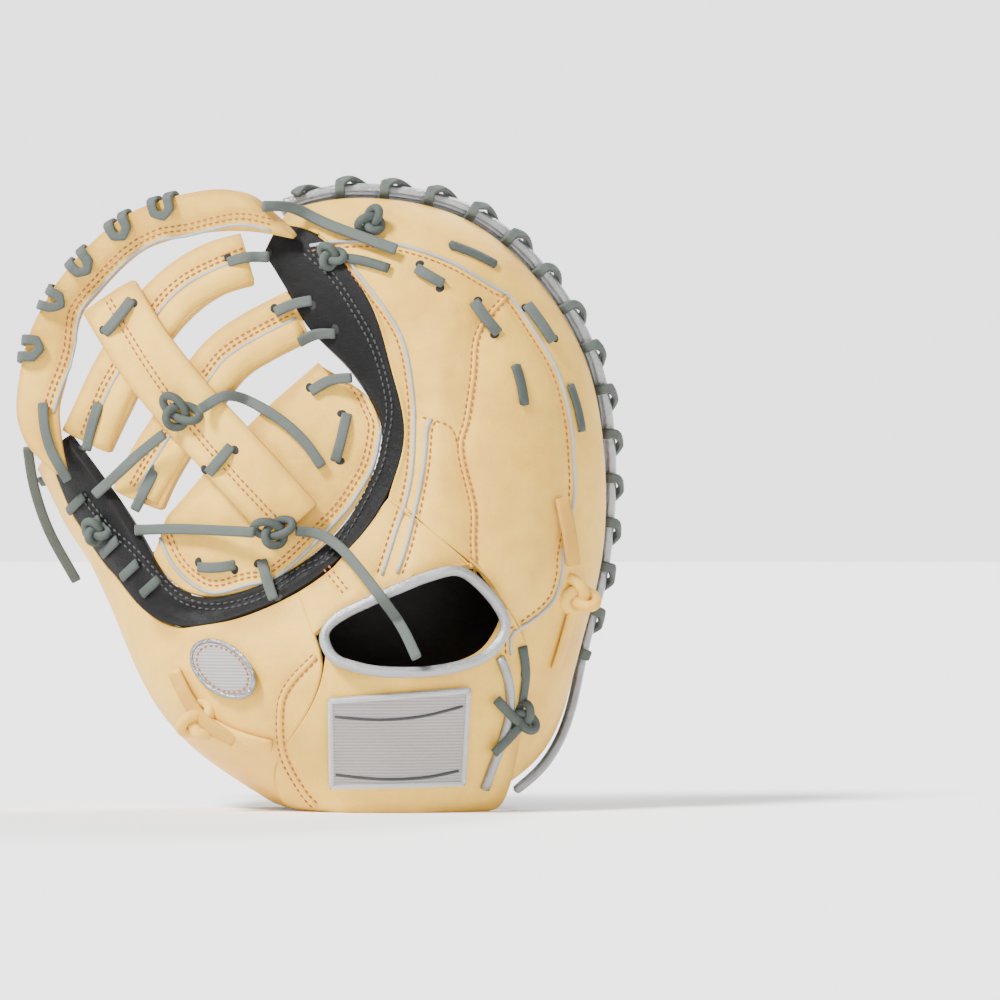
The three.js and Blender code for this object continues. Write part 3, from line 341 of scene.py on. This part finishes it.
# Short laces on the back: each comes up through a punched hole, lies flat and goes down through another.
# They are rawhide; the two ties beside the thumb and the little finger are strips of the camel leather.
STAPLES = (
    "post_lace_top", "post_lace_middle", "base_lace_right", "base_lace_left", "finger_lace_top", "finger_lace_side",
    "finger_lace_rim", "bar_lace_upper", "bar_lace_middle", "bar_lace_lower", "base_lace_tip", "thumb_lace_upper",
    "thumb_lace_lower", "base_lace_bottom",
)
for node in STAPLES:
    supple(node, node + "_strip", rawhide, dive=0.0024, ripple=0.0002)
for node in ("thumb_tie", "finger_tie"):
    supple(node, node + "_strip", camel, dive=0.0015)


# Knots: each is an overhand knot pulled tight in a flat rawhide lace, where a lace ends on the back.
# They are tied through the leather behind them and sit on its surface.
def strand(name, stops, finish, width, thickness, closed=False):
    """A lace, tube or thread through a list of (point, normal of its flat side), by extruding one ring."""
    last = len(stops) - 1
    frames = []
    for k, (spot, normal) in enumerate(stops):
        before = stops[(k - 1) % last if closed else max(k - 1, 0)][0]
        after = stops[(k + 1) % last if closed else min(k + 1, last)][0]
        heading = (after - before).normalized()
        side = heading.cross(normal).normalized()
        turned = Matrix((side, side.cross(heading), heading)).transposed().to_4x4()
        frames.append(Matrix.Translation(spot) @ turned)
    bm = bmesh.new()
    flat = Matrix.Diagonal((width / 2, thickness / 2, 1, 1))
    bmesh.ops.create_circle(bm, segments=10, radius=1, matrix=frames[0] @ flat)
    edges = list(bm.edges)
    for before, after in zip(frames, frames[1:]):
        made = bmesh.ops.extrude_edge_only(bm, edges=edges)["geom"]
        verts = [g for g in made if isinstance(g, bmesh.types.BMVert)]
        ring = set(verts)
        edges = [g for g in made if isinstance(g, bmesh.types.BMEdge) and ring.issuperset(g.verts)]
        bmesh.ops.transform(bm, matrix=after @ before.inverted(), verts=verts)
    if closed:
        bmesh.ops.remove_doubles(bm, verts=bm.verts, dist=0.0001)
    else:
        bmesh.ops.holes_fill(bm, edges=bm.edges)
    bmesh.ops.recalc_face_normals(bm, faces=bm.faces)
    return meshed(name, bm, finish)


def knot(name, centre, across, tall, finish, thickness=0.0034, turn=0.0):
    """A trefoil in the plane that faces the back."""
    stops = []
    for k in range(61):
        t = 2 * math.pi * k / 60
        x = (math.sin(t) + 2 * math.sin(2 * t)) / 3
        z = (math.cos(t) - 2 * math.cos(2 * t)) / 3
        lift = -math.sin(3 * t) * thickness * 0.5
        flat = Matrix.Rotation(turn, 3, "Y") @ Vector((x * across / 2, 0, z * tall / 2))
        stops.append((centre + flat + Vector((0, lift, 0)), Vector((0, -1, 0))))
    return strand(name, stops, finish, thickness * 1.25, thickness, closed=True)


def middle(node):
    spots = [v.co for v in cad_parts[node].data.vertices]
    low = Vector([min(s[k] for s in spots) for k in range(3)])
    high = Vector([max(s[k] for s in spots) for k in range(3)])
    return (low + high) / 2


KNOTS = {
    "post_knot": (0.021, 0.015, 0.5),
    "base_knot": (0.02, 0.014, -0.1),
    "finger_tip_knot": (0.014, 0.011, -0.8),
    "thumb_knot": (0.013, 0.011, 0.3),
    "wrist_knot": (0.015, 0.013, 1.2),
}
for node, (across, tall, turn) in KNOTS.items():
    tied = knot(node + "_tied", middle(node), across, tall, rawhide, turn=turn)
    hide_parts(node)


# Seams on the back: thin piping of the grey lining, and rows of orange thread beside it.
# Their lines are given as seen from the back, x and z in millimetres, and are laid on the leather by a ray.
def surface(pieces):
    points, faces = [], []
    for piece in pieces:
        start = len(points)
        points += [v.co.copy() for v in piece.data.vertices]
        faces += [[start + i for i in face.vertices] for face in piece.data.polygons]
    return BVHTree.FromPolygons(points, faces)


def smooth_line(line, pitch):
    """Even steps along a smooth curve through the points of a line."""
    ends = [Vector(p) for p in (line[0], *line, line[-1])]
    fine = []
    for a, b, c, d in zip(ends, ends[1:], ends[2:], ends[3:]):
        for k in range(16):
            t = k / 16
            fine.append(
                0.5 * (2 * b + (c - a) * t + (2 * a - 5 * b + 4 * c - d) * t**2 + (3 * b - a - 3 * c + d) * t**3)
            )
    fine.append(ends[-1])
    run = sum((b - a).length for a, b in zip(fine, fine[1:]))
    count = max(2, round(run / pitch))
    steps, goal, done = [fine[0]], run / count, 0.0
    for a, b in zip(fine, fine[1:]):
        while done + (b - a).length >= goal and len(steps) < count:
            a = a.lerp(b, (goal - done) / (b - a).length)
            steps.append(a)
            done = 0.0
        done += (b - a).length
    return steps + [fine[-1]]


def beside(line, offset):
    """The line moved sideways, to the left of its direction."""
    moved = []
    for k, spot in enumerate(line):
        way = (Vector(line[min(k + 1, len(line) - 1)]) - Vector(line[max(k - 1, 0)])).normalized()
        moved.append((spot[0] - way.y * offset, spot[1] + way.x * offset))
    return moved


def laid(tree, line, pitch, lift=0.0, towards=1):
    """Points and normals where the steps of a line meet the leather, seen from the back, or with -1 the pocket."""
    stops = []
    for step in smooth_line(line, pitch):
        eye = Vector((step.x / 1000, -0.4 * towards, step.y / 1000))
        spot, normal = tree.ray_cast(eye, Vector((0, towards, 0)))[:2]
        if spot:
            if normal.y * towards > 0:
                normal.negate()
            stops.append((spot + normal * lift, normal))
    return stops


def buried(stops, depth=0.003):
    """The stops of a short lace, with both ends turned down into the leather."""
    (first, up), (last, down) = stops[0], stops[-1]
    return [(first - up * depth, up), *stops, (last - down * depth, down)]


def stitches(name, tree, lines, finish, pitch=3.2, thread=0.0025, radius=0.0005, towards=1):
    """Rows of stitches along lines, each a short round thread half sunk in the leather."""
    bm = bmesh.new()
    for line in lines:
        stops = laid(tree, line, pitch, radius * 0.35, towards)
        for (a, normal), (b, _) in zip(stops, stops[1:]):
            heading = (b - a).normalized()
            side = heading.cross(normal).normalized()
            turned = Matrix((heading, side, heading.cross(side))).transposed().to_4x4()
            size = Matrix.Diagonal((thread / 2, radius, radius, 1))
            matrix = Matrix.Translation((a + b) / 2) @ turned @ size
            bmesh.ops.create_uvsphere(bm, u_segments=6, v_segments=4, radius=1, matrix=matrix)
    bmesh.ops.recalc_face_normals(bm, faces=bm.faces)
    return meshed(name, bm, finish)


def pressed(piece, lines, width=0.0019, depth=0.0007):
    """The back of a piece pulled in along rows of stitches."""
    spots = [Vector((p.x / 1000, p.y / 1000, 0)) for line in lines for p in smooth_line(line, 1.5)]
    tree = KDTree(len(spots))
    for k, spot in enumerate(spots):
        tree.insert(spot, k)
    tree.balance()
    mesh = piece.data
    pulls = []
    for vert in mesh.vertices:
        gap = tree.find(Vector((vert.co.x, vert.co.z, 0)))[2]
        pull = depth * math.exp(-((gap / width) ** 2)) if vert.normal.y < -0.1 else 0
        pulls.append(vert.normal * pull)
    for vert, pull in zip(mesh.vertices, pulls):
        vert.co -= pull


def ripple_over(piece, depth=0.0006):
    """Slow waves that run on from one panel to the next."""
    for vert in piece.data.vertices:
        vert.co.y += depth * waves(vert.co)


def twine(name, light, dark):
    finish = Finish(name)
    twist = finish.clouds(0.0006, 2, 0.5, (1, 1, 3))
    colour = finish.blend(twist, dark, light)
    return finish.done(colour, 0.6 + twist * 0.15, twist, 0.0002, {"Sheen Weight": 0.2})


orange_thread = twine("orange_thread", (0.47, 0.125, 0.0), (0.28, 0.06, 0.0))
black_thread = twine("black_thread", (0.03, 0.03, 0.032), (0.012, 0.012, 0.013))
raw_edge = leather("raw_edge", "", (0.4, 0.42, 0.43), (0.24, 0.26, 0.27), (0.4, 0.42, 0.43), 0.0006, 0.4, 0.0003, 0.5)

BESIDE_BLACK = [(11, 269), (20, 255), (33, 238), (41, 223), (45, 202), (46, 182), (44, 156), (36, 129), (31, 113)]
SHORT_PIPING = [(54, 187), (52, 182), (50, 161), (43, 129), (38, 114)]
OUTER_PIPING = [
    (-4, 270), (15, 272), (39, 270), (63, 262), (84, 250), (92, 245), (103, 229), (114, 210), (120, 188), (122, 167),
    (122, 149), (117, 124), (116, 112), (111, 99), (96, 87), (92, 85), (92, 75),
]
PIPING = {"beside_black": BESIDE_BLACK, "short": SHORT_PIPING, "outer": OUTER_PIPING}
MIDDLE_SEAM = [(90, 246), (79, 233), (75, 223), (74, 208), (71, 187), (68, 172), (74, 145), (74, 129), (75, 110)]
SHORT_ARC = [(49, 187), (56, 185), (63, 182), (66, 172)]
KNUCKLE_SEAM = [(4, 117), (14, 105)]
STRAP_SEAM = [(0, 75), (-13, 61), (-17, 49), (-16, 28), (-7, 10), (-1, 3)]
rows = [beside(MIDDLE_SEAM, 1.4), beside(MIDDLE_SEAM, -1.4), beside(BESIDE_BLACK, -2.6)]
rows += [beside(SHORT_ARC, 1), beside(SHORT_PIPING, 2.4), beside(OUTER_PIPING, -2.6)]
rows += [beside(KNUCKLE_SEAM, 1.4), beside(KNUCKLE_SEAM, -1.4), beside(STRAP_SEAM, 1.6), beside(STRAP_SEAM, -1.6)]
VALLEY_WIDTH = 0.01
VALLEY_DEPTH = 0.002
for panel in back.values():
    pressed(panel, [BESIDE_BLACK, MIDDLE_SEAM, OUTER_PIPING], VALLEY_WIDTH, VALLEY_DEPTH)
    pressed(panel, rows)
    ripple_over(panel)
back_skin = surface([*back.values(), palm])
for name, line in PIPING.items():
    strand(name + "_piping", laid(back_skin, line, 4, 0.0002), raw_edge, 0.0017, 0.0017)
stitches("back_stitches", back_skin, rows, orange_thread)
strand("middle_seam_welt", laid(back_skin, MIDDLE_SEAM, 4, -0.0003), camel, 0.0022, 0.0018)
strand("strap_seam_welt", laid(back_skin, STRAP_SEAM, 4, -0.0003), camel, 0.003, 0.0024)
BLACK_EDGE = [
    (-6, 268), (7, 256), (19, 238), (27, 223), (32, 208), (35, 192), (33, 177), (28, 159), (8, 124), (-7, 115),
    (-27, 102), (-48, 97), (-64, 100), (-75, 109), (-89, 124), (-102, 135), (-115, 151),
]
palm_skin = surface([palm])
stitches("palm_edge_stitches", palm_skin, [beside(BLACK_EDGE, 0.5), beside(BLACK_EDGE, -2)], black_thread)

# Web seams: the band and each bar are folded over a grey lining whose raw edge shows, with a double row of thread.
# The post has two rows along it, and the base has two inside its curved edge. The bars' folded halves are round.
BAND_EDGE = [
    (-23, 276), (-39, 279), (-64, 274), (-77, 272), (-91, 264), (-105, 250), (-115, 238), (-118, 218), (-124, 201),
    (-127, 190),
]
UPPER_BAR_LINE = [(-31, 266), (-49, 259), (-64, 251), (-77, 238), (-97, 208), (-105, 192), (-113, 172)]
LOWER_BAR_LINE = [(-7, 237), (-27, 227), (-43, 217), (-52, 206), (-75, 173), (-87, 153)]
BASE_CURVE = [
    (11, 217), (22, 205), (30, 189), (31, 182), (28, 166), (22, 154), (11, 139), (-17, 112), (-33, 107), (-50, 103),
    (-63, 109), (-72, 119), (-77, 130),
]
POST_LINE = [(-100, 246), (-83, 218), (-63, 190), (-38, 161), (-12, 134)]
WEB_ROWS = {
    "web_band": [beside(BAND_EDGE, -s) for s in (4, 6.4)],
    "web_bar_upper": [beside(UPPER_BAR_LINE, -s) for s in (2.6, 4.8)],
    "web_bar_lower": [beside(LOWER_BAR_LINE, -s) for s in (2.6, 4.8)],
    "web_base": [beside(BASE_CURVE, -s) for s in (4.6, 6.8)],
    "web_post": [beside(POST_LINE, s) for s in (-3.2, -0.6)],
}
for node, lines in WEB_ROWS.items():
    pressed(web[node], lines)
skins = {node: surface([piece]) for node, piece in web.items()}
for node, lines in WEB_ROWS.items():
    stitches(node + "_stitches", skins[node], lines, orange_thread)
RAW_EDGES = {
    "band": ("web_band", beside(BAND_EDGE, -1.2), 0.0002, 0.0015, 0.0014),
    "upper_bar": ("web_bar_upper", UPPER_BAR_LINE, 0.0001, 0.0015, 0.0014),
    "lower_bar": ("web_bar_lower", LOWER_BAR_LINE, 0.0001, 0.0015, 0.0014),
    "base": ("web_base", beside(BASE_CURVE, -1.2), 0.0001, 0.0018, 0.0016),
}
for name, (node, line, lift, width, thickness) in RAW_EDGES.items():
    strand(name + "_raw_edge", laid(skins[node], line, 4, lift), raw_edge, width, thickness)
FOLD_OFFSET = 6
FOLD_WIDTH = 0.0115
FOLD_HEIGHT = 0.0052
for node, line in {"web_bar_upper": UPPER_BAR_LINE, "web_bar_lower": LOWER_BAR_LINE}.items():
    strand(node + "_fold", laid(skins[node], beside(line, FOLD_OFFSET), 4, -0.0004), camel, FOLD_WIDTH, FOLD_HEIGHT)


# The wrist patch and the thumb's badge: ribbed cloth with a thick stitched border, both without any print.
# The patch is sewn to the strap and the badge to the thumb's back, inside a silver ring.
def ribbed(name, light, dark, scale):
    finish = Finish(name, "patch_cloth")
    ribs = finish.node(
        "ShaderNodeTexWave", {"bands_direction": "Z"},
        {"Vector": finish.places(), "Scale": scale, "Distortion": 0.8, "Detail Scale": 3.0},
    )
    fuzz = finish.clouds(0.0009, 2)
    colour = finish.blend(ribs * 0.55 + fuzz * 0.45, dark, light)
    return finish.done(colour, 0.62 + fuzz * 0.2, ribs * 0.6 + fuzz * 0.5, 0.0003, {"Sheen Weight": 0.3})


patch_weave = ribbed("patch_weave", (0.36, 0.335, 0.325), (0.19, 0.175, 0.17), 210)
border_thread = ribbed("border_thread", (0.55, 0.55, 0.55), (0.3, 0.3, 0.31), 420)
cloth = {}
for node in ("wrist_patch", "thumb_patch"):
    cloth[node] = supple(node, node + "_cloth", patch_weave, firm=0.8)
PATCH_CORNERS = [(7, 53.8), (71.9, 58.4), (69.3, 13.9), (7, 12.7)]
patch_skin = surface([cloth["wrist_patch"]])
for k, (start, end) in enumerate(zip(PATCH_CORNERS, PATCH_CORNERS[1:] + PATCH_CORNERS[:1])):
    side = laid(patch_skin, [start, end], 2.5, 0.0001)
    strand(f"wrist_patch_border_{k + 1}", side, border_thread, 0.0026, 0.0012)
TRIM_LINES = [[(9, 46.5), (30, 45), (50, 46.5), (69, 51)], [(9, 18.5), (30, 16.5), (50, 17), (67, 20)]]
for k, line in enumerate(TRIM_LINES):
    strand(f"wrist_patch_trim_{k + 1}", laid(patch_skin, line, 3, 0.0001), black_thread, 0.0016, 0.0011)
BADGE_CENTRE = (-44.6, 68.5)
BADGE_LONG = 17.6
BADGE_SHORT = 11.1
BADGE_TILT = -0.62


def badge_ring(share):
    line = []
    for k in range(33):
        turn = 2 * math.pi * k / 32
        a, b = share * BADGE_LONG * math.cos(turn), share * BADGE_SHORT * math.sin(turn)
        x = BADGE_CENTRE[0] + a * math.cos(BADGE_TILT) - b * math.sin(BADGE_TILT)
        line.append((x, BADGE_CENTRE[1] + a * math.sin(BADGE_TILT) + b * math.cos(BADGE_TILT)))
    return line


badge_skin = surface([cloth["thumb_patch"], back["thumb_back"]])
strand("thumb_patch_border", laid(badge_skin, badge_ring(0.97), 2, 0.0001), silver, 0.0022, 0.0014)
stitches("thumb_patch_stitches", badge_skin, [badge_ring(0.8)], orange_thread, 2.6, 0.002)

# The strap's right edge is bound in silver and laced to the back, and ties of camel leather hold the little
# finger's and the thumb's loops inside.
all_back = surface([*back.values(), palm, *web.values()])
STRAP_EDGE = [(86, 74), (90, 63), (91, 51), (88, 36), (83, 22), (79, 11)]
strand("strap_edge_roll", laid(all_back, STRAP_EDGE, 3, 0.001), silver, 0.0048, 0.0046)
STRAP_LACING = {
    "upper": [(83, 55), (91, 46), (98, 41)],
    "lower": [(82, 29), (90, 37), (98, 46)],
    "rough": [(97, 79), (98.5, 66), (97, 53)],
}
for name, line in STRAP_LACING.items():
    stops = laid(all_back, line, 2.5, 0.001 if name == "rough" else 0.004)
    strand("strap_lacing_" + name, stops, rawhide, LACE_WIDTH, 0.002)


def tied_at(name, spot, across, tall, finish, turn, thickness=0.0032):
    (centre, normal), *_ = laid(all_back, [spot, (spot[0] + 1, spot[1])], 1)
    return knot(name, centre + normal * thickness * 0.8, across, tall, finish, thickness, turn)


tied_at("little_finger_tie_knot", (121, 103), 0.019, 0.015, camel, 0.7, 0.0046)
tied_at("thumb_tie_knot", (-54, 45), 0.019, 0.015, camel, -0.8, 0.0046)
tied_at("finger_tip_second_knot", (7, 264), 0.013, 0.011, rawhide, 0.4)
TIE_WIDTH = 0.007
LOOSE_STRIPS = {
    "little_finger_tie_tail": ([(121, 99), (117, 84), (112, 68)], camel),
    "thumb_tie_tail": ([(-50, 43), (-36, 37), (-21, 33)], camel),
    "thumb_tie_loop": ([(-58, 48), (-64, 57), (-67, 68)], camel),
    "finger_tip_rough_end": ([(9, 264), (22, 262), (34, 258)], rawhide),
}
for name, (line, finish) in LOOSE_STRIPS.items():
    strand(name, laid(all_back, line, 2.5, 0.0016), finish, TIE_WIDTH if finish == camel else LACE_WIDTH, 0.0024)

# More short rawhide laces across the fingers, which hold the finger linings.
# Both their ends go down into the leather.
BACK_LACES = {
    "upper": [(63, 270), (74, 266), (84, 261)],
    "inner": [(94, 212), (96.5, 203), (98, 194)],
    "outer": [(120, 203), (123.5, 192), (125.5, 182)],
}
for name, line in BACK_LACES.items():
    strand(f"finger_lace_{name}_strip", buried(laid(all_back, line, 2, 0.0009)), rawhide, 0.0052, LACE_THICKNESS)

# Laces along the thumb side of the palm's fold, each across the seam.
# They are rawhide and hold the fold down to the thumb's back.
FOLD_LACES = [(-117, 147), (-109, 136), (-100, 126), (-90, 115), (-80, 107)]
for k, (x, z) in enumerate(FOLD_LACES):
    stops = laid(all_back, [(x - 4, z - 3.6), (x, z), (x + 4, z + 3.6)], 2, 0.001)
    strand(f"fold_lace_{k + 1}", stops, rawhide, LACE_WIDTH, LACE_THICKNESS)

# Punched holes: ovals of painted shade under both ends of every short lace on the back.
# The real ones go through the leather and are dark inside from shade; these are thin discs painted dark on it.
painted_hole_shade = leather("painted_hole_shade", "", (0.012, 0.011, 0.01), (0.008, 0.007, 0.007), (0.01, 0.01, 0.01), gloss=0.7)
bm = bmesh.new()
for node in STAPLES:
    ends = far_ends([v.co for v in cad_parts[node].data.vertices])
    inner = (ends[0] + ends[1]) / 2
    for end in ends:
        spot = end.lerp(inner, 0.08)
        found, normal = all_back.ray_cast(Vector((spot.x, -0.4, spot.z)), Vector((0, 1, 0)))[:2]
        if found:
            side = normal.cross(inner - end).normalized()
            turned = Matrix((side.cross(normal), side, normal)).transposed().to_4x4()
            matrix = Matrix.Translation(found) @ turned @ Matrix.Diagonal((0.0019, 0.0024, 0.0003, 1))
            bmesh.ops.create_uvsphere(bm, u_segments=12, v_segments=6, radius=1, matrix=matrix)
meshed("punched_hole_shade_discs", bm, painted_hole_shade)

# Inside the pocket: short laces in an arc across the fingers and round the heel, and a row of orange thread.
# They hold the felt and the finger linings to the palm.
POCKET_LACES = [
    [(88, 226), (77, 232), (66, 237)], [(52, 245), (42, 248), (31, 251)], [(69, 221), (60, 225), (52, 228)],
    [(49, 238), (40, 240), (32, 242)], [(35, 207), (34, 198), (33, 190)], [(46, 184), (41, 176), (36, 168)],
    [(1, 108), (-6, 100), (-13, 93)], [(85, 27), (85, 34), (83, 41)], [(78, 47), (73, 51), (68, 54)],
    [(58, 60), (50, 63), (43, 66)], [(22, 72), (14, 75), (6, 79)], [(-100, 130), (-94, 124), (-88, 118)],
    [(-70, 92), (-64, 86), (-58, 80)],
]
for k, line in enumerate(POCKET_LACES):
    stops = buried(laid(palm_skin, line, 2, 0.0009, -1))
    strand(f"pocket_lace_{k + 1}", stops, rawhide, LACE_WIDTH, LACE_THICKNESS)
HEEL_ROW = [(128, 120), (115, 85), (98, 52), (78, 30), (55, 22), (30, 21), (6, 26), (-14, 38), (-34, 55), (-55, 78)]
stitches("heel_stitches", palm_skin, [HEEL_ROW], orange_thread, towards=-1)

# The stage: one wide pale floor under a white sky that is brightest low down.
# A soft key light comes from the upper left and a weaker one from behind.
FLOOR_RADIUS = 12
SKY_LOW = 2.6
SKY_HIGH = 0.5
bm = bmesh.new()
bmesh.ops.create_circle(bm, cap_ends=True, segments=64, radius=FLOOR_RADIUS)
floor_mesh = bpy.data.meshes.new("floor")
bm.to_mesh(floor_mesh)
bm.free()
floor = bpy.data.objects.new("floor", floor_mesh)
bpy.context.scene.collection.objects.link(floor)
paint = Finish("floor_paint")
mottle = paint.clouds(0.4, 2)
tone = paint.blend(mottle, (0.93, 0.93, 0.93), (0.96, 0.96, 0.96))
floor_mesh.materials.append(paint.done(tone, 0.75, mottle, 0.0001))

sky = bpy.data.worlds.new("studio_sky")
bpy.context.scene.world = sky
sky.use_nodes = True
nodes, links = sky.node_tree.nodes, sky.node_tree.links
heading = nodes.new("ShaderNodeTexCoord")
parts = nodes.new("ShaderNodeSeparateXYZ")
links.new(heading.outputs["Generated"], parts.inputs[0])
band = nodes.new("ShaderNodeMapRange")
band.interpolation_type = "SMOOTHSTEP"
for name, value in {"From Min": 0.1, "From Max": 0.4, "To Min": SKY_LOW, "To Max": SKY_HIGH}.items():
    band.inputs[name].default_value = value
links.new(parts.outputs["Z"], band.inputs["Value"])
links.new(band.outputs[0], nodes["Background"].inputs["Strength"])
nodes["Background"].inputs["Color"].default_value = (1, 1, 1, 1)


def far_light(name, place, strength):
    data = bpy.data.lights.new(name, "SUN")
    data.energy = strength
    data.angle = math.radians(14)
    lamp = bpy.data.objects.new(name, data)
    lamp.location = place
    lamp.rotation_euler = (Vector((0, 0, 0.15)) - Vector(place)).to_track_quat("-Z", "Y").to_euler()
    bpy.context.scene.collection.objects.link(lamp)


far_light("key_light", (-1.2, -0.9, 1.9), 9.5)
far_light("back_light", (0.6, 1.3, 1.6), 3.0)
